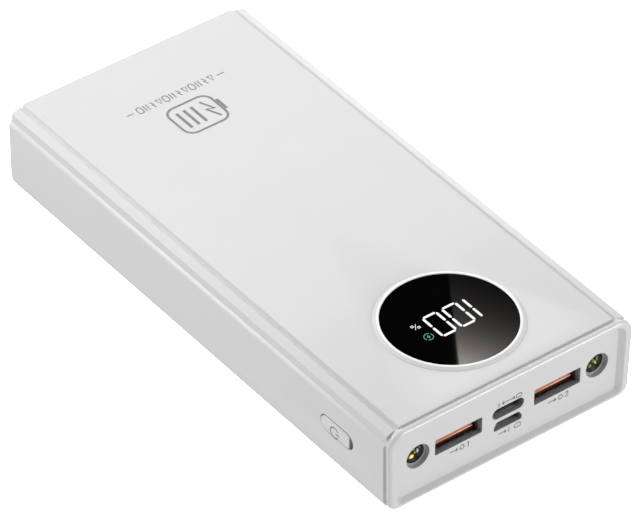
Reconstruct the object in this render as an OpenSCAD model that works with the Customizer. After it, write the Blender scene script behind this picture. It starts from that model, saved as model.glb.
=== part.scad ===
// Power bank: a flat rechargeable battery pack with two USB-A outlets, a Type-C and a
// Micro-USB socket, two torch lamps, a round percentage display and a side power button.
// Frame: origin at the bottom centre, ports towards -Y, display on top (+Z), millimetres.

/* [Body] */
// Width across the side ridges
body_w = 70; // [68:0.5:74]
// Length from the port rim to the far end
body_l = 146; // [144:1:156]
// Height of the flat top above the table
body_h = 22.5; // [22.5:0.5:25]
// Thickness of the moulded walls
wall = 2; // [1.8:0.1:2.2]
// How much narrower each side is at the bottom than at the ridge
side_draft = 0.4; // [0.2:0.1:0.6]
// Radius of the long bottom edges
bottom_r = 3; // [2.6:0.1:3.2]
// Height of the seam between the shell and the bottom cover
split_z = 1.8; // [1.7:0.1:1.9]

/* [Port end] */
// Depth of the port frame that stands in front of the seam groove
frame_depth = 1.3; // [1.2:0.1:1.5]
// Width of the seam groove between the frame and the shell
groove_w = 1.1; // [0.9:0.1:1.2]
// Depth of the seam groove
groove_d = 0.8; // [0.6:0.1:1]
// Corner radius of the frame's upper corners
corner_r = 4.4; // [4.2:0.1:4.8]
// Width of the raised rim above and below the port panel
rim_w = 1.3; // [1.2:0.1:1.4]
// Width of the raised rim at the port panel's sides
rim_side = 2.1; // [1.9:0.1:2.3]
// How far the port panel lies behind the rim
recess = 1.4; // [1.2:0.1:1.6]
// How far the recess walls above and below lean inwards over their depth
recess_lean = 0.5; // [0.3:0.1:0.7]
// How far the recess walls at the sides lean inwards over their depth
recess_side_lean = 1.1; // [0.9:0.1:1.3]
// Thickness of the port panel
panel_t = 1.9; // [1.7:0.1:2]

/* [Sockets and lamps] */
// Height of the USB-A sockets' middle above the table
port_z = 11.65; // [11.45:0.05:11.85]
// Distance of each USB-A socket from the middle
usb_x = 14.2; // [13.8:0.1:14.6]
// Distance of each lamp from the middle
lamp_x = 25.75; // [25.4:0.05:26.1]
// Diameter of each lamp hole
lamp_hole_d = 6.5; // [6:0.1:6.8]

/* [Display] */
// Sideways place of the display's middle
display_x = 0.65; // [0:0.05:1.5]
// Distance of the display's middle from the port rim
display_from_front = 23.8; // [23.4:0.1:25]
// Radius of the black window
lens_r = 15.9; // [15.5:0.1:16.2]
// How far the display ring stands above the top
ring_rise = 0.65; // [0.6:0.05:0.8]

/* [Button] */
// Distance of the power button's middle from the port rim
button_from_front = 19.1; // [18.6:0.1:20]
// Length of the button slot
slot_l = 11.9; // [11.6:0.1:12.4]
// Height of the button slot
slot_h = 4.7; // [4.5:0.1:4.9]
// Travel of the button
button_travel = 0.5; // [0.3:0.1:0.5]

/* [Hidden] */
$fn = 64;
eps = 0.01;
half_w = body_w / 2;
front_y = -body_l / 2;
far_y = body_l / 2;
arc_steps = 8;

// Places along the length
shell_y0 = front_y + frame_depth + groove_w;
panel_front = front_y + recess;
panel_back = panel_front + panel_t;
spigot_l = 3.4;
end_round = 1.2;

// Cavity and spigot
cavity_r = 7.5;
fit_gap = 0.15;
spigot_t = 1.3;
spigot_y1 = shell_y0 + spigot_l;
shoulder_w = 4.7;

// Shoulder of the long top edges: [in from the side, down from the top]
shoulder = [
    [0, 3.9], [0.08, 3.65], [0.3, 3.4], [0.42, 3.1], [0.76, 1.45], [0.95, 1.18],
    [1.3, 1.04], [2.7, 0.72], [3.2, 0.62], [3.5, 0.5], [4.15, 0.1], [shoulder_w, 0]
];

// Main board
board_t = 0.8;
board_top = port_z - 1;
board_w = 62;
board_y0 = panel_back + 0.4;
board_y1 = front_y + 38.5;
post_r = 2.4;
screw_r = 0.9;
head_r = 1.8;
head_t = 1.2;
board_posts = [[-28.5, front_y + 34.5], [28.5, front_y + 34.5],
               [-25, front_y + 17], [25, front_y + 17]];

// USB-A socket: outer shell size, sheet, tongue in the lower half with its contacts on top
usb_a_w = 13.1;
usb_a_h = 5.7;
usb_a_l = 14;
sheet = 0.3;
tongue_w = 11.1;
tongue_t = 1.4;
tongue_gap = 0.45;
tongue_tip = 1.95;
usb_hole_w = 13.4;
usb_hole_h = 4.8;
contact_t = 0.15;
socket_y0 = panel_back + 0.1;

// Type-C and Micro-USB sockets
type_c_w = 8.94;
type_c_h = 3.16;
type_c_l = 7.5;
micro_w = 7.4;
micro_h = 2.6;
micro_l = 5.6;
micro_taper = 0.9;
type_c_hole_w = 9.1;
type_c_hole_h = 3;
micro_hole_w = 8;
micro_hole_h = 2.5;
type_c_z = board_top + type_c_h / 2 + 0.02;
micro_z = board_top - board_t - micro_h / 2 - 0.02;

// Lamps
lamp_z = port_z + 0.1;
cup_r = 3.75;
cup_l = 5.6;
led_r = 2.5;
led_l = 8.6;
led_flange_r = 2.9;
led_flange_t = 1;
led_back = panel_back + 0.9 + led_l;

// Display
display_y = front_y + display_from_front;
ring_seat_r = lens_r + 0.85;
ring_r = lens_r + 1.55;
ring_crest_r = lens_r + 0.6;
ring_lip_r = lens_r - 0.9;
lens_t = 1.25;
lens_top = body_h + ring_rise - 0.2;
lens_z0 = lens_top - lens_t;
module_w = 25;
module_d = 14;
module_t = 3.2;
module_z0 = lens_z0 - 0.1 - module_t;
display_board_t = 1;
display_board_z0 = module_z0 - display_board_t;
display_board_w = 47;
display_board_d = 18;
display_post_x = 21;
display_post_r = 2;

// Seven-segment figures: size, stroke width and the middle of each along the line of text
digit_h = 8.15;
digit_w = 4.45;
stroke = 0.62;
segment_gap = 0.28;
digit_proud = 0.03;
one_x = -8.5;
zeros_x = [-2.6, 2.9];
percent_x = 7.85;
icon_x = 7.55;
percent_y = -2.4;
icon_y = 2;

// Button and its switch
button_y = front_y + button_from_front;
button_z = 11.2;
button_gap = 0.25;
button_flat = 1.1;
button_face_x = -half_w + 0.05;
flange_x0 = -half_w + wall + 0.45;
flange_t = 0.7;
flange_over = 0.9;
plunger_x = flange_x0 + flange_t + 0.05;
plunger_r = 0.7;
plunger_in = 0.6;
switch_x0 = plunger_x + 0.7;
switch_l = 2.6;
switch_w = 4.6;
switch_h = 2.9;
plunger_z = board_top + switch_h / 2;

// Battery
cell_y0 = front_y + 44;
cell_y1 = far_y - wall - 1.4;
cell_w = body_w - 2 * wall - 4;
foam_t = 0.5;
cell_z0 = split_z + 0.4;
cell_t = (body_h - wall - 0.9 - cell_z0 - foam_t) / 2;
cell_upper_z0 = cell_z0 + cell_t + foam_t;
cell_r = 2.4;
terrace_l = 3;
terrace_t = 0.4;
tab_w = 7;
tab_t = 0.2;
guard_y1 = cell_y0 - terrace_l - 1.2;
guard_t = 0.8;
guard_w = 48;
lead_r = 0.8;
lead_bend = 2.2;
lead_z = board_top + lead_bend;

// Points of an arc in the plane, from angle a0 to a1
function arc(cx, cy, r, a0, a1, n = arc_steps) =
    [for (i = [0:n]) let (a = a0 + (a1 - a0) * i / n) [cx + r * cos(a), cy + r * sin(a)]];

// Radius left on a corner after an inset
function inset_r(r, d) = max(r - d, 0.5);

// Rounded body section, inset by d, with upper corner radius r_top
function section(d, r_top = corner_r) =
    let (rt = inset_r(r_top, d), rb = inset_r(bottom_r, d),
         xt = half_w - d - rt, xb = half_w - side_draft - d - rb,
         zt = body_h - d - rt, zb = d + rb)
    concat(arc(xt, zt, rt, 0, 90), arc(-xt, zt, rt, 90, 180),
           arc(-xb, zb, rb, 180, 270), arc(xb, zb, rb, 270, 360));

// Recess outline drawn in by d above and below and by side at the sides
function recess_outline(d, side) =
    [for (p = section(d)) [p[0] - sign(p[0]) * (side - d), p[1]]];

// Body section with the stepped shoulders along both long top edges
function shouldered_section() =
    let (xb = half_w - side_draft - bottom_r,
         right = concat(arc(xb, bottom_r, bottom_r, 270, 360),
                        [for (p = shoulder) [half_w - p[0], body_h - p[1]]]),
         n = len(right))
    concat(right, [for (i = [1:n]) [-right[n - i][0], right[n - i][1]]]);

// Prism of an XZ outline between two places along Y
module along_y(outline, y0, y1) {
    translate([0, y1, 0])
        rotate([90, 0, 0])
            linear_extrude(y1 - y0)
                polygon(outline);
}

// Block given by its lowest corner and its size
module block(corner, size) {
    translate(corner)
        cube(size);
}

// Block centred on x, standing on z, from y onwards
module block_on(x, y, z, size) {
    translate([x - size[0] / 2, y, z])
        cube(size);
}

// Round bar along Y, from y0 over length l
module bar_y(x, y0, z, r, l) {
    translate([x, y0, z])
        rotate([-90, 0, 0])
            cylinder(r = r, h = l);
}

// Stadium-shaped bar along Y, w across and h high
module stadium_y(x, y0, z, w, h, l) {
    union() {
        translate([x - w / 2 + h / 2, y0, z - h / 2])
            cube([w - h, l, h]);
        bar_y(x - w / 2 + h / 2, y0, z, h / 2, l);
        bar_y(x + w / 2 - h / 2, y0, z, h / 2, l);
    }
}

// Stadium-shaped bar along X, l long and h high in the side wall
module stadium_x(x0, y, z, l, h, depth) {
    translate([x0, y, z])
        rotate([0, 90, 0])
            union() {
                translate([-h / 2, -l / 2 + h / 2, 0])
                    cube([h, l - h, depth]);
                for (s = [-1, 1])
                    translate([0, s * (l - h) / 2, 0])
                        cylinder(d = h, h = depth);
            }
}

// Micro-USB outline: wide at the bottom, its upper corners cut away
function micro_outline(w, h, cut) = [
    [-w / 2, -h / 2], [w / 2, -h / 2], [w / 2, -h / 2 + h * 0.35],
    [w / 2 - cut, h / 2], [-w / 2 + cut, h / 2], [-w / 2, -h / 2 + h * 0.35]
];

module micro_bar(y0, w, h, cut, l) {
    translate([0, 0, micro_z])
        along_y(micro_outline(w, h, cut), y0, y0 + l);
}

// Plan of the body with rounded far corners, to trim the extruded section
module body_plan() {
    r = end_round;
    linear_extrude(body_h)
        polygon(concat(
            [[-half_w, shell_y0], [half_w, shell_y0]],
            arc(half_w - r, far_y - r, r, 0, 90),
            arc(-half_w + r, far_y - r, r, 90, 180)));
}

// Side view of the body with a rounded far top edge
module body_side() {
    r = end_round;
    translate([half_w, 0, 0])
        rotate([90, 0, -90])
            linear_extrude(body_w)
                polygon(concat(
                    [[-shell_y0, 0], [-shell_y0, body_h]],
                    arc(-far_y + r, body_h - r, r, 90, 180),
                    arc(-far_y + r, r, r, 180, 270)));
}

module body_blank() {
    intersection() {
        along_y(shouldered_section(), shell_y0, far_y);
        body_plan();
        body_side();
    }
}

// Room inside the casing, open downwards below the rounded section
module cavity() {
    side = half_w - side_draft - wall;
    along_y(section(wall, cavity_r), shell_y0 - 1, far_y - wall);
    block([-side, shell_y0 - 1, -1], [2 * side, far_y - wall - shell_y0 + 1, wall + bottom_r]);
}

// Upper casing: top, both sides and the far end in one moulding
module main_shell() {
    rail_l = slot_l + 2;
    rail_z = slot_h / 2 + flange_over;
    rail_t = 0.8;
    color("white")
        union() {
            difference() {
                body_blank();
                cavity();
                block([-half_w, front_y, -1], [body_w, body_l + 1, split_z + 1]);
                translate([display_x, display_y, body_h - wall - 1])
                    cylinder(r = ring_seat_r + 0.05, h = wall + 2);
                stadium_x(-half_w - 1, button_y, button_z, slot_l, slot_h, wall + 2);
            }
            for (s = [-1, 1])
                translate([display_x + s * display_post_x, display_y, display_board_z0 + display_board_t])
                    difference() {
                        cylinder(r = display_post_r,
                                 h = body_h - wall - display_board_z0 - display_board_t + 0.1);
                        translate([0, 0, -eps])
                            cylinder(r = screw_r - 0.15, h = 2);
                    }
            for (z = [button_z - rail_z - rail_t, button_z + rail_z])
                block([-half_w + wall - 0.3, button_y - rail_l / 2, z], [1.2, rail_l, rail_t]);
        }
}

// Bottom casing: tray with a locating lip and the board's screw posts
module bottom_cover() {
    lip_x = half_w - side_draft - wall - fit_gap;
    lip_y0 = spigot_y1 + 0.3;
    lip_y1 = far_y - wall - fit_gap;
    lip_t = 0.8;
    lip_h = 2.2;
    color("whitesmoke")
        union() {
            intersection() {
                body_blank();
                block([-half_w, front_y, 0], [body_w, body_l, split_z]);
            }
            difference() {
                block([-lip_x, lip_y0, split_z - 0.2], [2 * lip_x, lip_y1 - lip_y0, lip_h]);
                block([-lip_x + lip_t, lip_y0 + lip_t, split_z - 1],
                      [2 * (lip_x - lip_t), lip_y1 - lip_y0 - 2 * lip_t, lip_h + 2]);
            }
            for (p = board_posts)
                translate([p[0], p[1], split_z - 0.1])
                    difference() {
                        cylinder(r = post_r, h = board_top - board_t - split_z + 0.1);
                        translate([0, 0, 2])
                            cylinder(r = screw_r - 0.15, h = board_top);
                    }
        }
}

// Openings that the sockets and lamps need in the port panel
module panel_openings() {
    cut_l = panel_t + 1;
    y0 = panel_front - 0.5;
    for (s = [-1, 1]) {
        block_on(s * usb_x, y0, port_z - usb_hole_h / 2, [usb_hole_w, cut_l, usb_hole_h]);
        bar_y(s * lamp_x, y0, lamp_z, lamp_hole_d / 2, cut_l);
    }
    stadium_y(0, y0, type_c_z, type_c_hole_w, type_c_hole_h, cut_l);
    micro_bar(y0, micro_hole_w, micro_hole_h, micro_taper, cut_l);
}

// Front end cap: raised rim, recessed port panel and the spigot inside the shell
module port_frame() {
    edge = 0.8;
    thin = 0.05;
    color("white")
        difference() {
            union() {
                hull() {
                    along_y(section(edge), front_y, front_y + thin);
                    along_y(section(0), front_y + edge, front_y + frame_depth);
                }
                along_y(section(groove_d), front_y + frame_depth - eps, shell_y0);
                difference() {
                    along_y(section(wall + fit_gap, cavity_r), shell_y0 - eps, spigot_y1);
                    along_y(section(wall + fit_gap + spigot_t, cavity_r), panel_back, spigot_y1 + 1);
                }
            }
            hull() {
                along_y(recess_outline(rim_w, rim_side), front_y - thin, front_y);
                along_y(recess_outline(rim_w + recess_lean, rim_side + recess_side_lean),
                        panel_front - thin, panel_front);
            }
            panel_openings();
        }
}

// Raised bezel pressed into the round hole of the top
module display_ring() {
    top = body_h + ring_rise;
    edge = 0.1;
    color("white")
        translate([display_x, display_y, 0])
            rotate_extrude()
                polygon([
                    [ring_lip_r, body_h - wall], [ring_seat_r, body_h - wall],
                    [ring_seat_r, body_h], [ring_r, body_h], [ring_r, body_h + edge],
                    [ring_crest_r, top], [lens_r + 0.05, top],
                    [lens_r + 0.05, lens_z0], [ring_lip_r, lens_z0]
                ]);
}

// One segment stroke of length l, pointed at both ends, lying along X
module stroke_flat(l) {
    half = stroke / 2;
    polygon([[-l / 2, 0], [-l / 2 + half, half], [l / 2 - half, half],
             [l / 2, 0], [l / 2 - half, -half], [-l / 2 + half, -half]]);
}

// Seven-segment figure centred on the origin; lit names its segments
module figure_flat(lit) {
    upright = digit_h / 2 - segment_gap;
    across = digit_w - stroke - segment_gap;
    side_x = (digit_w - stroke) / 2;
    row_y = (digit_h - stroke) / 2;
    for (seg = lit) {
        if (seg == "top" || seg == "bottom")
            translate([0, seg == "top" ? row_y : -row_y])
                stroke_flat(across);
        else
            translate([seg == "upper_left" || seg == "lower_left" ? -side_x : side_x,
                       seg == "upper_left" || seg == "upper_right" ? row_y / 2 : -row_y / 2])
                rotate(90)
                    stroke_flat(upright - stroke / 2);
    }
}

// Percent sign: two small squares and a slanting stroke
module percent_flat() {
    for (p = [[-0.6, 0.5], [0.6, -0.5]])
        translate(p)
            difference() {
                square(0.7, center = true);
                square(0.42, center = true);
            }
    rotate(55)
        square([1.95, 0.14], center = true);
}

// The lit figures, read from the port end: 100 and a percent sign
module digits_flat() {
    zero = ["top", "bottom", "upper_left", "upper_right", "lower_left", "lower_right"];
    one = ["upper_right", "lower_right"];
    translate([one_x, 0])
        figure_flat(one);
    for (x = zeros_x)
        translate([x, 0])
            figure_flat(zero);
    translate([percent_x, percent_y])
        percent_flat();
}

// Charging sign: a bolt inside a broken circle
module icon_flat() {
    translate([icon_x, icon_y]) {
        difference() {
            circle(r = 1.2);
            circle(r = 1);
            for (a = [40, 220])
                rotate(a)
                    translate([0.8, -0.2])
                        square([1, 0.4]);
        }
        polygon([[0.2, 0.75], [-0.5, -0.12], [-0.04, -0.12],
                 [-0.2, -0.75], [0.5, 0.12], [0.04, 0.12]]);
    }
}

// The display reads upside down from behind, so its flat art is turned to face the port end
module on_display(z, h) {
    translate([display_x, display_y, z])
        rotate(180)
            linear_extrude(h)
                children();
}

// Black window with openings for the light guides of the figures
module display_lens() {
    color("black")
        difference() {
            translate([display_x, display_y, lens_z0])
                cylinder(r = lens_r, h = lens_t);
            on_display(lens_z0 - 1, lens_t + 2) {
                digits_flat();
                icon_flat();
            }
        }
}

// White light guides of the figures, one solid a segment
module display_digits() {
    color("white")
        on_display(lens_z0, lens_t + digit_proud)
            digits_flat();
}

// Green light guide of the charging sign
module display_icon() {
    color("mediumseagreen")
        on_display(lens_z0, lens_t + digit_proud)
            icon_flat();
}

// Black block that holds the display's light-emitting diodes
module display_module() {
    color("#202020")
        block_on(display_x, display_y - module_d / 2, module_z0, [module_w, module_d, module_t]);
}

// Small circuit board of the display
module display_board() {
    color("darkgreen")
        difference() {
            block_on(display_x, display_y - display_board_d / 2, display_board_z0,
                     [display_board_w, display_board_d, display_board_t]);
            for (s = [-1, 1])
                translate([display_x + s * display_post_x, display_y, display_board_z0 - 1])
                    cylinder(r = screw_r + 0.1, h = display_board_t + 2);
        }
}

// Pan-head screw with its head below the joint and its shank upwards
module screw(shank_l) {
    translate([0, 0, -head_t])
        difference() {
            union() {
                cylinder(r = head_r, h = head_t);
                cylinder(r = screw_r - 0.15, h = head_t + shank_l);
            }
            for (a = [0, 90])
                rotate(a)
                    translate([-head_r * 0.6, -0.2, -eps])
                        cube([head_r * 1.2, 0.4, 0.6]);
        }
}

// Two screws that hold the display board up to its posts
module display_screws() {
    color("silver")
        for (s = [-1, 1])
            translate([display_x + s * display_post_x, display_y, display_board_z0])
                screw(display_board_t + 1.6);
}

// Flat flexible cable from the display board down to the main board
module display_ribbon() {
    w = 7;
    t = 0.25;
    x = display_x - w / 2;
    y = display_y + display_board_d / 2 - 3;
    bow = 5.5;
    z0 = board_top + 0.02;
    z1 = display_board_z0 - 0.02;
    color("khaki")
        union() {
            block([x, y - 3, z0], [w, 3, t]);
            translate([x, y, (z0 + z1) / 2])
                rotate([90, 0, 90])
                    linear_extrude(w)
                        polygon(concat(arc(0, 0, (z1 - z0) / 2, -90, 90, 16),
                                       arc(0, 0, (z1 - z0) / 2 - t, 90, -90, 16)));
            block([x, y - 3, z1 - t], [w, 3, t]);
        }
}

// Button cap with a flat front end, and the flange that keeps it in the slot
module power_button() {
    l = slot_l - 2 * button_gap;
    h = slot_h - 2 * button_gap;
    depth = flange_x0 - button_face_x;
    cut_y = button_y - slot_l / 2 + button_flat;
    color("white")
        union() {
            intersection() {
                stadium_x(button_face_x, button_y, button_z, l, h, depth + eps);
                block([button_face_x - 1, cut_y, 0], [depth + 2, l, body_h]);
            }
            block([flange_x0, button_y - l / 2 - flange_over, button_z - h / 2 - flange_over],
                  [flange_t, l + 2 * flange_over, h + 2 * flange_over]);
        }
}

// Housing of the side-pressed switch, open towards the button
module switch_body() {
    color("#303030")
        difference() {
            block([switch_x0, button_y - switch_w / 2, board_top], [switch_l, switch_w, switch_h]);
            translate([switch_x0 - 1, button_y, plunger_z])
                rotate([0, 90, 0])
                    cylinder(r = plunger_r + 0.15, h = 2.4);
        }
}

// Plunger that the button pushes into the switch
module switch_plunger() {
    color("ivory")
        translate([plunger_x, button_y, plunger_z])
            rotate([0, 90, 0])
                cylinder(r = plunger_r, h = switch_x0 - plunger_x + plunger_in);
}

// Snap disc behind the plunger, which springs it back
module switch_dome() {
    color("gold")
        translate([switch_x0 + plunger_in + button_travel + 0.05, button_y, plunger_z])
            rotate([0, 90, 0])
                cylinder(r = plunger_r + 0.1, h = 0.2);
}

// Main circuit board, notched at the front edge for the two USB-A sockets
module main_board() {
    notch_w = usb_a_w + 0.4;
    color("darkgreen")
        difference() {
            block([-board_w / 2, board_y0, board_top - board_t], [board_w, board_y1 - board_y0, board_t]);
            for (s = [-1, 1]) {
                block_on(s * usb_x, board_y0 - 1, board_top - 2, [notch_w, usb_a_l + 1.2, 4]);
                block_on(s * lamp_x, board_y0 - 1, board_top - 2,
                         [2 * cup_r + 0.5, led_back - board_y0 + 1.3, 4]);
            }
            for (p = board_posts)
                translate([p[0], p[1], board_top - 2])
                    cylinder(r = screw_r + 0.1, h = 4);
        }
}

// Four screws through the main board into the posts of the bottom cover
module board_screws() {
    color("silver")
        for (p = board_posts)
            translate([p[0], p[1], board_top])
                mirror([0, 0, 1])
                    screw(board_t + 3.5);
}

// USB-A socket: folded sheet shell, closed at the back
module usb_a_shell(x) {
    color("silver")
        difference() {
            block_on(x, socket_y0, port_z - usb_a_h / 2, [usb_a_w, usb_a_l, usb_a_h]);
            block_on(x, socket_y0 - 1, port_z - usb_a_h / 2 + sheet,
                     [usb_a_w - 2 * sheet, usb_a_l + 1 - sheet, usb_a_h - 2 * sheet]);
        }
}

// Orange plastic tongue with its root block at the back of the socket
module usb_a_tongue(x) {
    z = port_z - usb_a_h / 2 + sheet + tongue_gap;
    root_l = 3;
    inner_h = usb_a_h - 2 * sheet;
    tip_y = panel_front + tongue_tip;
    back_y = socket_y0 + usb_a_l - sheet;
    color("darkorange")
        union() {
            block_on(x, tip_y, z, [tongue_w, back_y - tip_y, tongue_t]);
            block_on(x, back_y - root_l, port_z - inner_h / 2, [usb_a_w - 2 * sheet, root_l, inner_h]);
        }
}

// Five contact strips on top of the tongue
module usb_a_contacts(x) {
    z = port_z - usb_a_h / 2 + sheet + tongue_gap + tongue_t;
    tip_y = panel_front + tongue_tip + 0.6;
    strip_l = 7;
    color("gold")
        for (i = [-2:2])
            block_on(x + i * 2, tip_y, z, [1, strip_l, contact_t]);
}

// Type-C socket: seamless stadium shell, closed at the back
module type_c_shell() {
    color("silver")
        difference() {
            stadium_y(0, socket_y0, type_c_z, type_c_w, type_c_h, type_c_l);
            stadium_y(0, socket_y0 - 1, type_c_z, type_c_w - 2 * sheet, type_c_h - 2 * sheet,
                      type_c_l + 1 - sheet);
        }
}

// Type-C centre tongue and its root
module type_c_tongue() {
    w = 6.7;
    t = 0.7;
    root_l = 2;
    back_y = socket_y0 + type_c_l - sheet;
    color("#202020")
        union() {
            block_on(0, socket_y0 + 0.8, type_c_z - t / 2, [w, back_y - socket_y0 - 0.8, t]);
            stadium_y(0, back_y - root_l, type_c_z, type_c_w - 2 * sheet, type_c_h - 2 * sheet, root_l);
        }
}

// Contact pads on both faces of the Type-C tongue
module type_c_contacts() {
    pads = 6;
    pitch = 0.95;
    color("gold")
        for (i = [0:pads - 1], s = [0, 1])
            block_on((i - (pads - 1) / 2) * pitch, socket_y0 + 1.1, type_c_z - 0.35 - 0.08 + s * 0.78,
                     [0.45, 3.6, 0.08]);
}

// Micro-USB socket shell under the main board
module micro_usb_shell() {
    color("silver")
        difference() {
            micro_bar(socket_y0, micro_w, micro_h, micro_taper, micro_l);
            micro_bar(socket_y0 - 1, micro_w - 2 * sheet, micro_h - 2 * sheet, micro_taper,
                      micro_l + 1 - sheet);
        }
}

// Micro-USB tongue and its root
module micro_usb_tongue() {
    w = 3.8;
    t = 0.6;
    root_l = 1.6;
    back_y = socket_y0 + micro_l - sheet;
    color("#202020")
        union() {
            block_on(0, socket_y0 + 0.8, micro_z - 0.1, [w, back_y - socket_y0 - 0.8, t]);
            micro_bar(back_y - root_l, micro_w - 2 * sheet, micro_h - 2 * sheet, micro_taper, root_l);
        }
}

// Five contacts under the Micro-USB tongue
module micro_usb_contacts() {
    color("gold")
        for (i = [-2:2])
            block_on(i * 0.65, socket_y0 + 1, micro_z - 0.1 - 0.08, [0.35, 2.6, 0.08]);
}

// Reflector cup behind each lamp hole
module lamp_cup(x) {
    inner_r = led_flange_r + 0.1;
    color("dimgray")
        translate([x, panel_back + 0.1, lamp_z])
            rotate([-90, 0, 0])
                rotate_extrude()
                    polygon([[lamp_hole_d / 2, 0], [cup_r, 0], [cup_r, cup_l],
                             [led_r + 0.05, cup_l], [led_r + 0.05, cup_l - 1.5],
                             [inner_r - 0.2, cup_l - 2.5]]);
}

// Round 5 mm torch diode: domed body and flange
module lamp_led(x) {
    color("lightyellow")
        union() {
            translate([x, led_back - led_l + led_r, lamp_z])
                rotate([-90, 0, 0])
                    union() {
                        sphere(r = led_r);
                        cylinder(r = led_r, h = led_l - led_r);
                    }
            bar_y(x, led_back - led_flange_t, lamp_z, led_flange_r, led_flange_t);
        }
}

// Two wires from each diode, bent down to the main board
module lamp_leads(x) {
    wire = 0.5;
    pitch = 2.54;
    run = 1.5;
    color("silver")
        for (s = [-1, 1])
            union() {
                block_on(x + s * pitch / 2, led_back, lamp_z - wire / 2, [wire, run, wire]);
                block_on(x + s * pitch / 2, led_back + run - wire, board_top,
                         [wire, wire, lamp_z - board_top]);
            }
}

// Pouch cell with rounded long edges and the flat sealed terrace at its front end
module cell(z0) {
    x = cell_w / 2 - cell_r;
    t = cell_t;
    color("silver")
        union() {
            along_y(concat(arc(x, z0 + t - cell_r, cell_r, 0, 90),
                           arc(-x, z0 + t - cell_r, cell_r, 90, 180),
                           arc(-x, z0 + cell_r, cell_r, 180, 270),
                           arc(x, z0 + cell_r, cell_r, 270, 360)),
                    cell_y0, cell_y1);
            block_on(0, cell_y0 - terrace_l, z0 + t / 2 - terrace_t / 2,
                     [cell_w - 6, terrace_l + 0.5, terrace_t]);
        }
}

// Height of the middle of each cell
cell_mid = [cell_z0 + cell_t / 2, cell_upper_z0 + cell_t / 2];

// Nickel tabs, two a cell, bent against the protection board
module cell_tabs() {
    foot = 2;
    color("lightgray")
        for (mid = cell_mid, s = [-1, 1])
            union() {
                block_on(s * 14, guard_y1, mid - tab_t / 2, [tab_w, cell_y0 - terrace_l - guard_y1, tab_t]);
                block_on(s * 14, guard_y1, mid - tab_t / 2, [tab_w, tab_t, foot]);
            }
}

// Protection board that stands across the front end of the cells
module protection_board() {
    z0 = cell_mid[0] - 1.5;
    z1 = cell_mid[1] + 3;
    color("seagreen")
        block_on(0, guard_y1 - guard_t, z0, [guard_w, guard_t, z1 - z0]);
}

// Insulated lead from the protection board, bent down onto the main board
module battery_lead(x) {
    y1 = guard_y1 - guard_t;
    y0 = board_y1 - 3;
    union() {
        bar_y(x, y0, lead_z, lead_r, y1 - y0);
        translate([x, y0, lead_z - lead_bend])
            rotate([90, 0, -90])
                rotate_extrude(angle = 90)
                    translate([lead_bend, 0])
                        circle(r = lead_r);
    }
}

module battery_lead_red() {
    color("red")
        battery_lead(-6);
}

module battery_lead_black() {
    color("black")
        battery_lead(-10);
}

// Foam between the cells and above the upper one
module foam_pads() {
    pad_l = 90;
    y = cell_y0 + 5;
    color("gray")
        union() {
            block_on(0, y, cell_z0 + cell_t, [50, pad_l, foam_t]);
            block_on(0, y, cell_upper_z0 + cell_t, [50, pad_l, foam_t]);
        }
}

// Two moulded power inductors
module inductors() {
    size = 6.6;
    color("#404448")
        for (x = [-13, 11])
            block_on(x, board_y1 - 15, board_top, [size, size, 3]);
}

// Power, controller and lamp-driver chips
module power_chips() {
    color("#202020")
        union() {
            block_on(-6, board_y1 - 15.5, board_top, [5, 5, 0.9]);
            block_on(3.5, board_y1 - 18, board_top, [4, 5, 1.4]);
            block_on(22, board_y1 - 14, board_top, [4, 5, 1.4]);
        }
}

// Storage capacitors along the board's rear edge
module capacitors() {
    color("tan")
        for (x = [10, 14, 18, -22])
            block_on(x, board_y1 - 5, board_top, [2.2, 3, 1.6]);
}

main_shell();
bottom_cover();
port_frame();
display_ring();
display_lens();
display_digits();
display_icon();
display_module();
display_board();
display_screws();
display_ribbon();
power_button();
switch_body();
switch_plunger();
switch_dome();
main_board();
board_screws();
usb_a_shell(-usb_x);  // usb_a_shell_1
usb_a_tongue(-usb_x);  // usb_a_tongue_1
usb_a_contacts(-usb_x);  // usb_a_contacts_1
usb_a_shell(usb_x);  // usb_a_shell_2
usb_a_tongue(usb_x);  // usb_a_tongue_2
usb_a_contacts(usb_x);  // usb_a_contacts_2
type_c_shell();
type_c_tongue();
type_c_contacts();
micro_usb_shell();
micro_usb_tongue();
micro_usb_contacts();
lamp_cup(-lamp_x);  // lamp_cup_1
lamp_led(-lamp_x);  // lamp_led_1
lamp_leads(-lamp_x);  // lamp_leads_1
lamp_cup(lamp_x);  // lamp_cup_2
lamp_led(lamp_x);  // lamp_led_2
lamp_leads(lamp_x);  // lamp_leads_2
cell(cell_z0);  // cell_lower
cell(cell_upper_z0);  // cell_upper
cell_tabs();
protection_board();
battery_lead_red();
battery_lead_black();
foam_pads();
inductors();
power_chips();
capacitors();
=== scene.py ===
"""Looks of the power bank: moulded casing, port end, display, sockets, lamps, print and studio."""

import math

import bmesh
import bpy
from mathutils import Matrix, Vector


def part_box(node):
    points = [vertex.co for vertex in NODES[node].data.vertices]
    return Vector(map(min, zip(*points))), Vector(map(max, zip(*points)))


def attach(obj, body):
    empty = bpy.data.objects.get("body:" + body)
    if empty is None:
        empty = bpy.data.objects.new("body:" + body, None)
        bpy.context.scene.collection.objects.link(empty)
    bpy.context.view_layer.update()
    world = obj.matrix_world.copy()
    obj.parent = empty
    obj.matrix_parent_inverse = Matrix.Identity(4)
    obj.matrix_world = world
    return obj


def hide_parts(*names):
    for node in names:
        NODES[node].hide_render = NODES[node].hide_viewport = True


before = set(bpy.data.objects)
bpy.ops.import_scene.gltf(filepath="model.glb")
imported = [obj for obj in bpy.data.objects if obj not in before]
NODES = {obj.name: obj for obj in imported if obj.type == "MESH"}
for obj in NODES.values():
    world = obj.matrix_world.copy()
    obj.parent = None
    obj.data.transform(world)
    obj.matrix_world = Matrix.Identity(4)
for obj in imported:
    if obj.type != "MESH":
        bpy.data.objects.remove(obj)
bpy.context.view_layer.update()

MM = 0.001

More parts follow.
